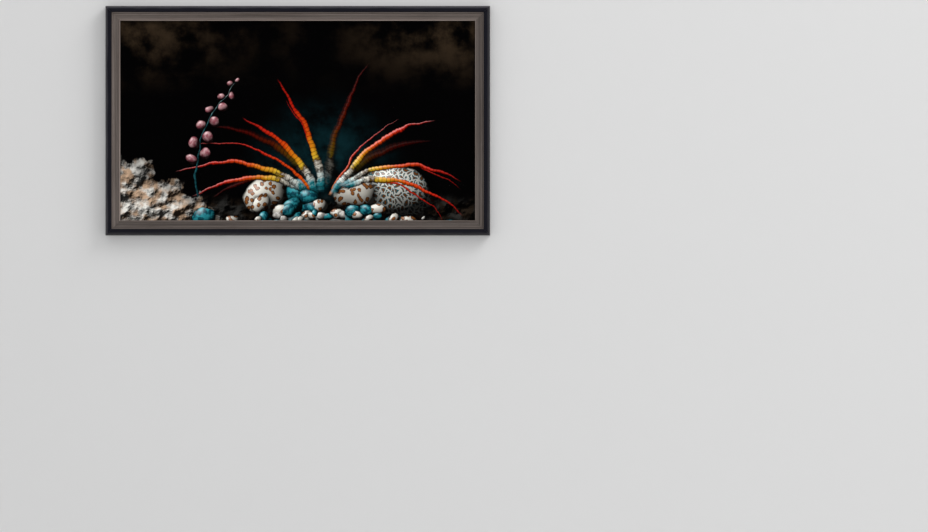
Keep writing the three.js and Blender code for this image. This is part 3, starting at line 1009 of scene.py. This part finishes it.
@dataclass(frozen=True)
class PlatedSteel:
    """Plated sheet steel, faintly clouded, with fine rubbed lines."""

    name: str
    colour: Colour
    dull: Colour
    roughness: float

    def material(self) -> Material:
        """Makes the finish.

        Returns:
            The material.
        """
        surface = Surface(self.name)
        here = surface.here()
        x, y, z = here
        cloud = here.noise(260.0, 3.0, solid=True)
        return surface.set(
            Base_Color=cloud.step(0.4, 0.7).blend(self.colour, self.dull),
            Metallic=1.0,
            Roughness=cloud * 0.25 + (self.roughness - 0.12),
            Normal=join(x * 300.0, z * 6000.0, y).noise(1.0).bump(0.02 * MM, 0.4),
        )


def added(name: str, data: bpy.types.ID) -> Object:
    """Makes an object and adds it to the scene.

    Args:
        name: Its name.
        data: Its mesh, light or camera.

    Returns:
        The object.
    """
    made = bpy.data.objects.new(name, data)
    bpy.context.scene.collection.objects.link(made)
    return made


def modelled(name: str, bm: BMesh, materials: list[Material]) -> Object:
    """Makes an object from a mesh.

    Args:
        name: The object's name.
        bm: Its mesh, already in place. It is freed.
        materials: Its materials, in the order of its faces' numbers.

    Returns:
        The object.
    """
    mesh = bpy.data.meshes.new(name)
    bm.to_mesh(mesh)
    bm.free()
    for material in materials:
        mesh.materials.append(material)
    return added(name, mesh)


def finished(
    name: str, bm: BMesh, materials: list[Material], slot: str, smooth_under: float = 30.0
) -> Object:
    """Makes a mesh into a piece that rides on the frame.

    Args:
        name: The piece's name.
        bm: Its mesh, already in place. It is freed.
        materials: Its materials, in the order of its faces' numbers.
        slot: Not used.
        smooth_under: Edges that turn less than this many degrees are smooth.

    Returns:
        The piece.
    """
    piece = modelled(name, bm, materials)
    piece.data.shade_smooth()
    piece.data.set_sharp_from_angle(angle=math.radians(smooth_under))
    piece.modifiers.new("even_normals", "WEIGHTED_NORMAL").keep_sharp = True
    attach(piece, "root")
    return piece


def eased_copy(node: str, material: Material, slot: str, arris: float) -> Object:
    """Makes a copy of a CAD part with its cut edges rounded, which stands for it.

    Args:
        node: The part's node.
        material: The copy's finish.
        slot: Not used; it is only passed on to finished.
        arris: How wide its edges are rounded.

    Returns:
        The piece.
    """
    bm = bmesh.new()
    bm.from_mesh(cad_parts[node].data)
    bmesh.ops.remove_doubles(bm, verts=bm.verts, dist=0.001 * MM)
    bmesh.ops.dissolve_limit(bm, angle_limit=math.radians(1), verts=bm.verts, edges=bm.edges)
    ease(bm, arris, 35.0)
    piece = finished(f"{node}_eased", bm, [material], slot)
    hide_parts(node)
    return piece


def turn(bm: BMesh, degrees: float, axis: str) -> None:
    """Turns a mesh about the origin."""
    matrix = Matrix.Rotation(math.radians(degrees), 3, axis)
    bmesh.ops.rotate(bm, verts=bm.verts, cent=(0, 0, 0), matrix=matrix)


def face_out(bm: BMesh) -> None:
    """Turns a mesh's faces outwards."""
    bmesh.ops.recalc_face_normals(bm, faces=bm.faces)


def ease(bm: BMesh, width: float, over: float = 28.0) -> None:
    """Rounds a mesh's sharp edges.

    Args:
        bm: The mesh.
        width: How wide the rounding is.
        over: Edges that turn more than this many degrees are rounded.
    """
    sharp = [e for e in bm.edges if len(e.link_faces) == 2 and e.calc_face_angle() > math.radians(over)]
    bmesh.ops.bevel(
        bm,
        geom=sharp,
        offset=width,
        segments=2,
        profile=0.5,
        affect="EDGES",
        material=-1,
        clamp_overlap=True,
    )


def prism(ring: list[Vector], depth: Vector) -> BMesh:
    """Extrudes a flat outline.

    Args:
        ring: The outline's corners.
        depth: How far it is extruded, and which way.

    Returns:
        The closed mesh.
    """
    bm = bmesh.new()
    swept = bmesh.ops.extrude_face_region(bm, geom=[bm.faces.new([bm.verts.new(p) for p in ring])])
    far = [part for part in swept["geom"] if isinstance(part, BMVert)]
    bmesh.ops.translate(bm, verts=far, vec=depth)
    face_out(bm)
    return bm


def merge(parts: list[BMesh]) -> BMesh:
    """Puts several meshes into one.

    Args:
        parts: The meshes. They are freed.

    Returns:
        The one mesh.
    """
    whole = bmesh.new()
    for part in parts:
        mesh = bpy.data.meshes.new("part")
        part.to_mesh(mesh)
        part.free()
        whole.from_mesh(mesh)
        bpy.data.meshes.remove(mesh)
    return whole


def arc(middle: Point, radii: Point, start: float, end: float, steps: int) -> list[Point]:
    """Points on part of an ellipse, from one angle in degrees to another, both ends among them."""
    turns = [math.radians(start + (end - start) * i / steps) for i in range(steps + 1)]
    return [(middle[0] + radii[0] * math.cos(t), middle[1] + radii[1] * math.sin(t)) for t in turns]


@dataclass
class Moulding:
    """Four mitred rails of one section."""

    datum: Datum
    name: str
    node: str
    slot: str
    hairline: float = 0.10 * MM
    arris: float = 0.22 * MM
    spare: float = 20 * MM

    def section(self) -> list[Point]:
        """The section's outline, as (inset, rise)."""
        raise NotImplementedError

    def finish(self, side: Side) -> BlackLacquer | GreyBrownStain:
        """The finish of one side's rail."""
        raise NotImplementedError

    def sweep(self, side: Side) -> BMesh:
        """Runs the section along the top side and cuts its mitres.

        Args:
            side: The side whose length and reach are used.

        Returns:
            The closed rail, with the picture's middle at the origin.
        """
        reach, length = self.datum.reach(side), self.datum.length(side)
        start = -length / 2 - self.spare
        ring = [Vector((start, -rise, reach - inset)) for inset, rise in self.section()]
        bm = prism(ring, Vector((length + 2 * self.spare, 0, 0)))
        for end in (-1, 1):
            cut = bmesh.ops.bisect_plane(
                bm,
                geom=[*bm.verts, *bm.edges, *bm.faces],
                plane_co=(end * (length / 2 - self.hairline), 0, reach),
                plane_no=Vector((end, 0, -1)).normalized(),
                clear_outer=True,
            )
            rim = [part for part in cut["geom_cut"] if isinstance(part, BMEdge)]
            bmesh.ops.holes_fill(bm, edges=rim, sides=0)
        face_out(bm)
        return bm

    def map_wood(self, bm: BMesh, side: Side) -> None:
        """Gives the rail its two maps: along and across the grain, and the section.

        Args:
            bm: The rail on the top side, before it is turned.
            side: Its side, which sets where its grain starts.
        """
        reach = self.datum.reach(side)
        grain, section = (bm.loops.layers.uv.new(name) for name in (GRAIN_MAP, SECTION_MAP))
        start = 3.7 * (1 + side.value / 90)
        for face in bm.faces:
            for loop in face.loops:
                x, y, z = loop.vert.co
                inset, rise = reach - z, -y
                loop[grain].uv = (x + start, inset + rise + start / 10)
                loop[section].uv = (inset, rise)

    def build(self) -> list[Object]:
        """Makes the four rails.

        Returns:
            The pieces, in the order of the sides.
        """
        rails = []
        for side in Side:
            bm = self.sweep(side)
            ease(bm, self.arris)
            self.map_wood(bm, side)
            self.datum.place(bm, side)
            rail = finished(f"{self.name}_{side.word}", bm, [self.finish(side).material()], self.slot)
            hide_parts(f"{self.node}_{side.word}")
            rails.append(rail)
        return rails


@dataclass
class OuterMoulding(Moulding):
    """The black moulding: a rounded shoulder, a level crown and a thin lip."""

    name: str = "black_rail"
    node: str = "outer_rail"
    slot: str = "outer_moulding"
    body: float = 12.5 * MM
    lip_thickness: float = 4.7 * MM
    lip_round: float = 1.5 * MM
    shoulder_width: float = 9 * MM
    shoulder_drop: float = 12 * MM
    # How strong the painted highlight is on the right and bottom rails, as painted shade.
    low_wear: float = 0.5
    back_chamfer: float = 0.8 * MM

    @property
    def lip_back(self) -> float:
        """The rise of the lip's underside."""
        return self.datum.depth - self.lip_thickness

    def section(self) -> list[Point]:
        """The section's outline, with the rounded shoulder and lip as arcs.

        Returns:
            The corners, as (inset, rise).
        """
        face, depth = self.datum.outer_face, self.datum.depth
        lip = (face - self.lip_round, depth - self.lip_round)
        shoulder = (self.shoulder_width, self.shoulder_drop)
        return [
            (self.back_chamfer, 0.0),
            (self.body, 0.0),
            (self.body, self.lip_back),
            (face, self.lip_back),
            *arc(lip, (self.lip_round, self.lip_round), 0, 90, 8),
            *arc((self.shoulder_width, depth - self.shoulder_drop), shoulder, 90, 180, 24),
            (0.0, self.back_chamfer),
        ]

    def finish(self, side: Side) -> BlackLacquer:
        """The lacquer of one side's rail. The right and bottom ones get a dimmer painted highlight, as
        painted shade.
        """
        return BlackLacquer(f"black_lacquer_{side.word}", self, self.low_wear if side.darker else 1.0)


@dataclass
class LinerMoulding(Moulding):
    """The grey-brown liner: fillet, groove, scoop and bead."""

    name: str = "wood_liner"
    node: str = "liner_rail"
    slot: str = "liner"
    front: float = 33.0 * MM
    lip_thickness: float = 6 * MM
    rebate: float = 36.2 * MM
    fillet_width: float = 3.9 * MM
    groove_width: float = 1.0 * MM
    groove_depth: float = 1.2 * MM
    scoop_drop: float = 0.9 * MM
    scoop_sag: float = 1.7 * MM
    bead_radius: float = 1.8 * MM
    bead_side: float = 1.4 * MM
    # The stain's tone on the right and bottom rails, as painted shade.
    dark_tone: float = 0.75
    curve_steps: int = 16

    @property
    def lip_back(self) -> float:
        """The rise of the lip's underside."""
        return self.front - self.lip_thickness

    def section(self) -> list[Point]:
        """The section's outline, with the scoop and the bead as curves.

        Returns:
            The corners, as (inset, rise).
        """
        sight, edge, back = self.datum.sight_edge, self.datum.liner_edge, self.datum.liner_back
        fillet_end = self.datum.outer_face + self.fillet_width
        scoop_start = fillet_end + self.groove_width
        bead = (sight - self.bead_radius, self.front - self.bead_side)
        high = self.front - self.scoop_drop
        floor = self.front - self.groove_depth - self.scoop_drop
        return [
            (edge, back),
            (self.rebate, back),
            (self.rebate, self.lip_back),
            (sight, self.lip_back),
            *arc(bead, (self.bead_radius, self.bead_radius), 0, 180, self.curve_steps),
            *self.scoop((sight - 2 * self.bead_radius, high - self.scoop_drop), (scoop_start, high)),
            (scoop_start, floor),
            (fillet_end, floor),
            (fillet_end, self.front),
            (edge, self.front),
        ]

    def scoop(self, start: Point, end: Point) -> list[Point]:
        """The hollow between two points, deepest at its middle.

        Args:
            start: Its inner edge.
            end: Its outer edge.

        Returns:
            The points, both ends among them.
        """
        points = []
        for i in range(self.curve_steps + 1):
            share = i / self.curve_steps
            inset, rise = (a + (b - a) * share for a, b in zip(start, end))
            points.append((inset, rise - 4 * self.scoop_sag * share * (1 - share)))
        return points

    def finish(self, side: Side) -> GreyBrownStain:
        """The stain of one side's rail, in painted shade on the right and bottom ones."""
        return GreyBrownStain(f"grey_brown_stain_{side.word}", self, self.dark_tone if side.darker else 1.0)


@dataclass
class CanvasSheet:
    """The stretched sheet: printed face, primed border turned over, bare cloth inside."""

    datum: Datum
    thickness: float = 0.5 * MM
    turnover: float = 26 * MM
    edge_round: float = 1.2 * MM
    round_steps: int = 3
    ripple: float = 0.25 * MM
    fold_run: float = 34 * MM
    fold_thick: float = 0.85 * MM
    fold_thin: float = 0.1 * MM
    columns: int = 72
    rows: int = 40
    smooth_under: float = 50.0

    @property
    def half(self) -> Vector:
        """Half the width and height of the stretched face."""
        half_width, half_height, edge = self.datum.half_width, self.datum.half_height, self.datum.canvas_edge
        return Vector((half_width - edge, 0, half_height - edge))

    def cut_size(self) -> tuple[float, float]:
        """The width and height that the sheet was cut to, flat."""
        wrap = 2 * (self.datum.canvas_front - self.datum.canvas_back + self.turnover)
        return 2 * self.half.x + wrap, 2 * self.half.z + wrap

    def carry_edge(self, bm: BMesh, inset: float, rise: float) -> None:
        """Carries the sheet's open edge on.

        Args:
            bm: The sheet.
            inset: How far inside the stretched face's outline the new edge lies.
            rise: The new edge's rise.
        """
        edges = [e for e in bm.edges if e.is_boundary]
        grown = bmesh.ops.extrude_edge_only(bm, edges=edges)["geom"]
        verts = [part for part in grown if isinstance(part, BMVert)]
        limit = self.half - Vector((inset, 0, inset))
        ends = {axis: max(vert.co[axis] for vert in verts) for axis in (0, 2)}
        for vert in verts:
            vert.co.y = -rise
            for axis, end in ends.items():
                size = abs(vert.co[axis])
                if size > end - 0.01 * MM or size > limit[axis]:
                    vert.co[axis] = math.copysign(limit[axis], vert.co[axis])

    def shell(self) -> BMesh:
        """Makes the outer surface of the sheet, with the picture's middle at the origin.

        Returns:
            The open mesh.
        """
        front, back, radius = self.datum.canvas_front, self.datum.canvas_back, self.edge_round
        bm = bmesh.new()
        bmesh.ops.create_grid(bm, x_segments=self.columns, y_segments=self.rows, size=1.0)
        turn(bm, 90, "X")
        bmesh.ops.scale(bm, verts=bm.verts, vec=(self.half.x - radius, 1, self.half.z - radius))
        bmesh.ops.translate(bm, verts=bm.verts, vec=(0, -front, 0))
        turns = [(i + 1) * math.pi / 2 / self.round_steps for i in range(self.round_steps)]
        rounding = [(radius * (1 - math.sin(t)), radius * (1 - math.cos(t))) for t in turns]
        for inset, drop in rounding:
            self.carry_edge(bm, inset, front - drop)
        self.carry_edge(bm, 0.0, back + radius)
        for drop, inset in rounding:
            self.carry_edge(bm, inset, back + drop)
        self.carry_edge(bm, self.turnover, back)
        bmesh.ops.remove_doubles(bm, verts=bm.verts, dist=0.02 * MM)
        face_out(bm)
        return bm

    def relax(self, bm: BMesh) -> None:
        """Lets the face lie a little uneven between its edges.

        Args:
            bm: The sheet's outer surface.
        """
        for vert in bm.verts:
            if vert.co.y < -self.datum.canvas_front + 0.1 * MM:
                x, z = vert.co.x / self.half.x, vert.co.z / self.half.z
                wave = noise.noise(Vector((vert.co.x * 5, 0, vert.co.z * 5)))
                vert.co.y += (1 - x * x) * (1 - z * z) * self.ripple * (1.2 + wave)

    def number_faces(self, bm: BMesh) -> None:
        """Marks which faces are printed (0), primed (1) and bare (2).

        Args:
            bm: The closed sheet.
        """
        back = self.datum.canvas_back
        for face in bm.faces:
            middle, out = face.calc_center_median(), face.normal
            rise = -middle.y
            if out.y > 0.5:
                face.material_index = 1 if rise < back + 0.2 * MM else 2
            elif out.y >= -0.5:
                face.material_index = 2 if out.x * middle.x + out.z * middle.z < 0 else 0
            else:
                face.material_index = 2 if rise < back + self.edge_round else 0

    def fold(self, across: int, up: int) -> BMesh:
        """The folded end of a level border, laid over the upright one at a corner.

        Args:
            across: 1 at the right corners, -1 at the left ones.
            up: 1 at the top corners, -1 at the bottom ones.

        Returns:
            The fold's closed mesh.
        """
        start, end, back = self.edge_round * 1.2, self.turnover, self.datum.canvas_back
        outline = (
            (start, start, self.fold_thick),
            (end, end, self.fold_thick),
            (end + self.fold_run, end, self.fold_thin),
            (start + self.fold_run, start, self.fold_thin),
        )
        bm = bmesh.new()
        rings = []
        for share in (0, 1):
            ring = []
            for along, down, proud in outline:
                rise = back - proud if share else back + self.thickness / 2
                ring.append(bm.verts.new((across * (self.half.x - along), -rise, up * (self.half.z - down))))
            rings.append(ring)
            bm.faces.new(ring)
        for i in range(len(outline)):
            bm.faces.new((rings[0][i], rings[0][i - 1], rings[1][i - 1], rings[1][i]))
        face_out(bm)
        ease(bm, self.thickness / 2)
        for face in bm.faces:
            face.material_index = 1
        return bm

    def build(self) -> Object:
        """Makes the sheet.

        Returns:
            The piece.
        """
        bm = self.shell()
        self.relax(bm)
        bmesh.ops.solidify(bm, geom=list(bm.faces), thickness=self.thickness)
        face_out(bm)
        self.number_faces(bm)
        bm = merge([bm, *(self.fold(*corner) for corner in CORNERS)])
        self.datum.place(bm)
        printed = SeaGardenPrint("sea_garden_print", middle_z=self.datum.centre_z)
        finishes = [finish.material() for finish in (printed, PRIMED_CLOTH, BARE_CLOTH)]
        sheet = finished("printed_canvas", bm, finishes, "canvas", self.smooth_under)
        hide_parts("canvas")
        bars = [f"stretcher_bar_{side.word}" for side in Side]
        self.cut_size()
        return sheet


@dataclass
class Metalwork:
    """The plated steel: staples, wedge nails, clips and hangers."""

    datum: Datum
    zinc: PlatedSteel = PlatedSteel("zinc_plate", (0.66, 0.68, 0.70), (0.48, 0.50, 0.53), 0.36)
    brassed: PlatedSteel = PlatedSteel("brassed_steel", (0.72, 0.52, 0.22), (0.52, 0.36, 0.14), 0.34)
    arris: float = 0.12 * MM
    staple_inset: float = 13 * MM
    staple_width: float = 10 * MM
    staple_leg: float = 1.6 * MM
    staple_bend: float = 1.0 * MM
    wire: float = 0.55 * MM
    wire_width: float = 1.2 * MM
    pitch: float = 42 * MM
    clip_clearance: float = 12 * MM
    corner_clearance: float = 24 * MM
    fold_lift: float = 0.6 * MM
    lean: float = 9.0
    wedge_leg: float = 7 * MM
    wedge_steel: float = 0.5 * MM
    wedge_depth: float = 6 * MM
    wedge_proud: float = 0.03 * MM
    outer_wedge_inset: float = 2.6 * MM
    liner_wedge_insets: Point = (16 * MM, 25 * MM)
    seed: int = 5

    def staple(self) -> BMesh:
        """Makes one staple: a crown with rounded shoulders and two short legs.

        Returns:
            The closed mesh, its crown on y = 0.
        """
        half, bend, leg = self.staple_width / 2, self.staple_bend, self.staple_leg
        inner = bend - self.wire
        left, right = (-half + bend, bend), (half - bend, bend)
        ring = [(-half, leg), *arc(left, (bend, bend), 180, 270, 4)]
        ring += [*arc(right, (bend, bend), 270, 360, 4), (half, leg)]
        ring += [(half - self.wire, leg), *arc(right, (inner, inner), 360, 270, 4)]
        ring += [*arc(left, (inner, inner), 270, 180, 4), (-half + self.wire, leg)]
        corners = [Vector((x, -y, -self.wire_width / 2)) for x, y in ring]
        return prism(corners, Vector((0, 0, self.wire_width)))

    def spots(self, side: Side) -> list[float]:
        """Where along a side the staples stand, clear of its clips and corners.

        Args:
            side: The side.

        Returns:
            The distances from the side's middle.
        """
        room = self.datum.length(side) / 2 - self.datum.canvas_edge - self.corner_clearance
        count = round(2 * room / self.pitch)
        clips = (-self.datum.clip_along, self.datum.clip_along) if side.level else (0.0,)
        spots = [-room + 2 * room * i / count for i in range(count + 1)]
        return [spot for spot in spots if all(abs(spot - clip) > self.clip_clearance for clip in clips)]

    def staples(self) -> BMesh:
        """Makes the staples of all four sides. Those at a corner lie on its fold.

        Returns:
            The staples in their places.
        """
        draw = random.Random(self.seed)
        rows = []
        for side in Side:
            line = self.datum.reach(side) - self.datum.canvas_edge - self.staple_inset
            spots = self.spots(side)
            row = []
            for spot in spots:
                staple = self.staple()
                turn(staple, draw.uniform(-self.lean, self.lean), "Y")
                lift = self.fold_lift if side.level and spot in (spots[0], spots[-1]) else 0.0
                rise = self.datum.canvas_back - self.wire - lift
                shift = (spot + draw.uniform(-2, 2) * MM, -rise, line + draw.uniform(-1.5, 1.5) * MM)
                bmesh.ops.translate(staple, verts=staple.verts, vec=shift)
                row.append(staple)
            rows.append(merge(row))
            self.datum.place(rows[-1], side)
        return merge(rows)

    def wedge(self, inset: float, rise: float) -> BMesh:
        """Makes one L-shaped wedge nail at the top right corner, its bend on the mitre.

        Args:
            inset: How far its bend is from both outer edges.
            rise: The rise of the wood's back.

        Returns:
            The closed mesh, with the picture's middle at the origin.
        """
        x, z = self.datum.half_width - inset, self.datum.half_height - inset
        leg, steel = self.wedge_leg, self.wedge_steel
        corners = ((0, 0), (-leg, 0), (-leg, -steel), (-steel, -steel), (-steel, -leg), (0, -leg))
        ring = [Vector((x + dx, -rise + self.wedge_proud, z + dz)) for dx, dz in corners]
        return prism(ring, Vector((0, -self.wedge_depth, 0)))

    def wedges(self) -> BMesh:
        """Makes the wedge nails of all four corners: one in the black rails, two in the liner.

        Returns:
            The nails in their places.
        """
        corners = []
        for across, up in CORNERS:
            corner = [self.wedge(self.outer_wedge_inset, 0.0)]
            corner += [self.wedge(inset, self.datum.liner_back) for inset in self.liner_wedge_insets]
            corners.append(merge(corner))
            bmesh.ops.scale(corners[-1], verts=corners[-1].verts, vec=(across, 1, up))
        nails = merge(corners)
        face_out(nails)
        self.datum.place(nails)
        return nails

    def build(self) -> list[Object]:
        """Makes the steel pieces, those of the CAD with their cut edges eased.

        Returns:
            The pieces.
        """
        zinc, brassed = self.zinc.material(), self.brassed.material()
        pieces = [
            finished("canvas_staples", self.staples(), [zinc], "fixings"),
            finished("mitre_nails", self.wedges(), [zinc], "fixings"),
        ]
        for node in sorted(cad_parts):
            if node.startswith("clip"):
                pieces.append(eased_copy(node, zinc, "fixings", self.arris))
            elif node.startswith("hanger"):
                pieces.append(eased_copy(node, brassed, "hangers", self.arris))
        return pieces


@dataclass
class Stretcher:
    """The pine bars and brace, and the beech keys in their corners."""

    arris: float = 0.45 * MM

    def build(self) -> list[Object]:
        """Makes the wooden pieces behind the canvas.

        Returns:
            The pieces.
        """
        pine, beech = ({level: wood.material(level) for level in (True, False)} for wood in (PINE, BEECH))
        pieces = [eased_copy("stretcher_brace", pine[False], "stretcher", self.arris)]
        for side in Side:
            bar = f"stretcher_bar_{side.word}"
            pieces.append(eased_copy(bar, pine[side.level], "stretcher", self.arris))
            for i in (1, 2):
                key = f"key_{side.word}_{i}"
                pieces.append(eased_copy(key, beech[not side.level], "keys", self.arris / 2))
        return pieces


@dataclass(frozen=True)
class Lamp:
    """A soft square light that points at the picture and that the camera doesn't see."""

    name: str
    offset: Triple
    size: float
    power: float
    glossy: bool = True

    def hang(self, centre_z: float) -> None:
        """Adds the light.

        Args:
            centre_z: The height of the picture's middle.
        """
        data = bpy.data.lights.new(self.name, "AREA")
        data.shape = "SQUARE"
        data.size = self.size
        data.energy = self.power
        lamp = added(self.name, data)
        lamp.location = Vector(self.offset) + Vector((0, 0, centre_z))
        lamp.rotation_euler = (-Vector(self.offset)).to_track_quat("-Z", "Y").to_euler()
        lamp.visible_camera = False
        lamp.visible_glossy = self.glossy


@dataclass
class Studio:
    """A pale floor and wall, soft lights and the photo's camera."""

    datum: Datum
    hang_height: float = 1.5
    wall_half_width: float = 7.0
    wall_top: float = 2.4
    wall_grey: float = 0.80
    floor_half: float = 9.0
    floor_grey: float = 0.74
    hole_cover: float = 1.2 * MM
    wall_gap: float = 0.4 * MM
    air_strength: float = 0.60
    lamps: tuple[Lamp, ...] = (
        Lamp("key", (6.2, -3.6, 6.2), 4.8, 370),
        Lamp("front", (0.0, -9.0, 0.0), 3.2, 67, glossy=False),
        Lamp("back", (-1.6, 2.6, 1.6), 1.6, 44),
    )
    metres_per_pixel: float = 2.821 * MM
    frame_middle_px: Point = (297.8, 120.7)
    shoulder_rise: float = 26 * MM
    lens: float = 100.0
    sensor: float = 36.0

    def stand(self, name: str, bm: BMesh, grey: float) -> None:
        """Makes a mesh into a piece of the stage, in matt paint with a faint roller texture.

        Args:
            name: The piece's name.
            bm: Its mesh. It is freed.
            grey: How pale the paint is.
        """
        surface = Surface(f"{name}_paint")
        relief = surface.here().noise(380.0, solid=True).bump(0.08 * MM, 0.25)
        paint = surface.set(Base_Color=(grey,) * 3, Roughness=0.9, Specular_IOR_Level=0.1, Normal=relief)
        piece = modelled(name, bm, [paint])
        piece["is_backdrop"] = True

    def rectangle(self, bm: BMesh, half: float, low: float, high: float) -> list[BMEdge]:
        """Makes a loop of four edges on the wall.

        Args:
            bm: The wall's mesh.
            half: Half the loop's width.
            low: The height of its lower edge.
            high: The height of its upper edge.

        Returns:
            The edges.
        """
        places = ((-half, low), (half, low), (half, high), (-half, high))
        corners = [bm.verts.new((x, self.wall_gap, z)) for x, z in places]
        return [bm.edges.new((corners[i - 1], corners[i])) for i in range(4)]

    def build(self) -> None:
        """Makes the floor, and the wall with an opening that the frame covers."""
        middle = self.datum.centre_z
        floor_z = middle - self.hang_height
        wall = bmesh.new()
        across, up = self.datum.half_width - self.hole_cover, self.datum.half_height - self.hole_cover
        loops = self.rectangle(wall, across, middle - up, middle + up)
        loops += self.rectangle(wall, self.wall_half_width, floor_z, self.wall_top)
        bmesh.ops.bridge_loops(wall, edges=loops)
        self.stand("wall", wall, self.wall_grey)
        floor = bmesh.new()
        bmesh.ops.create_grid(floor, x_segments=1, y_segments=1, size=self.floor_half)
        bmesh.ops.translate(floor, verts=floor.verts, vec=(0, 0, floor_z))
        self.stand("floor", floor, self.floor_grey)

    def light(self) -> None:
        """Hangs a key at the upper right, a glare-free front light, and one behind the wall."""
        for lamp in self.lamps:
            lamp.hang(self.datum.centre_z)
        world = bpy.data.worlds.new("studio_air")
        bpy.context.scene.world = world
        world.use_nodes = True
        air = next(node for node in world.node_tree.nodes if node.type == "BACKGROUND")
        air.inputs["Color"].default_value = (1.0, 1.0, 1.0, 1.0)
        air.inputs["Strength"].default_value = self.air_strength
        bpy.context.scene.view_settings.view_transform = "Standard"

    def shoot(self) -> None:
        """Sets the camera square to the wall, opposite the photo's middle."""
        right_px = PHOTO_WIDTH / 2 - self.frame_middle_px[0]
        down_px = PHOTO_HEIGHT / 2 - self.frame_middle_px[1]
        distance = PHOTO_WIDTH * self.metres_per_pixel * self.lens / self.sensor + self.shoulder_rise
        data = bpy.data.cameras.new("camera")
        data.lens = self.lens
        data.sensor_width = self.sensor
        camera = added("camera", data)
        aim_z = self.datum.centre_z - down_px * self.metres_per_pixel
        camera.location = (right_px * self.metres_per_pixel, -distance, aim_z)
        camera.rotation_euler = (math.pi / 2, 0, 0)
        bpy.context.scene.camera = camera


def write_sizes() -> None:
    """Works out the CAD box and the dressed model's box."""
    boxes = {"cad": CAD_BOUNDS, "visual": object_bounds()}
    {name: [list(low), list(high)] for name, (low, high) in boxes.items()}


def main() -> None:
    """Builds the classes in order and reports each piece."""
    logging.basicConfig(level=logging.INFO, format="%(message)s")
    datum = Datum()
    studio = Studio(datum)
    studio.shoot()
    pieces = [*OuterMoulding(datum).build(), *LinerMoulding(datum).build(), CanvasSheet(datum).build()]
    pieces += [*Stretcher().build(), *Metalwork(datum).build()]
    for piece in pieces:
        log.info("built %s with %d faces", piece.name, len(piece.data.polygons))
    studio.build()
    studio.light()
    write_sizes()


if __name__ == "__main__":
    main()
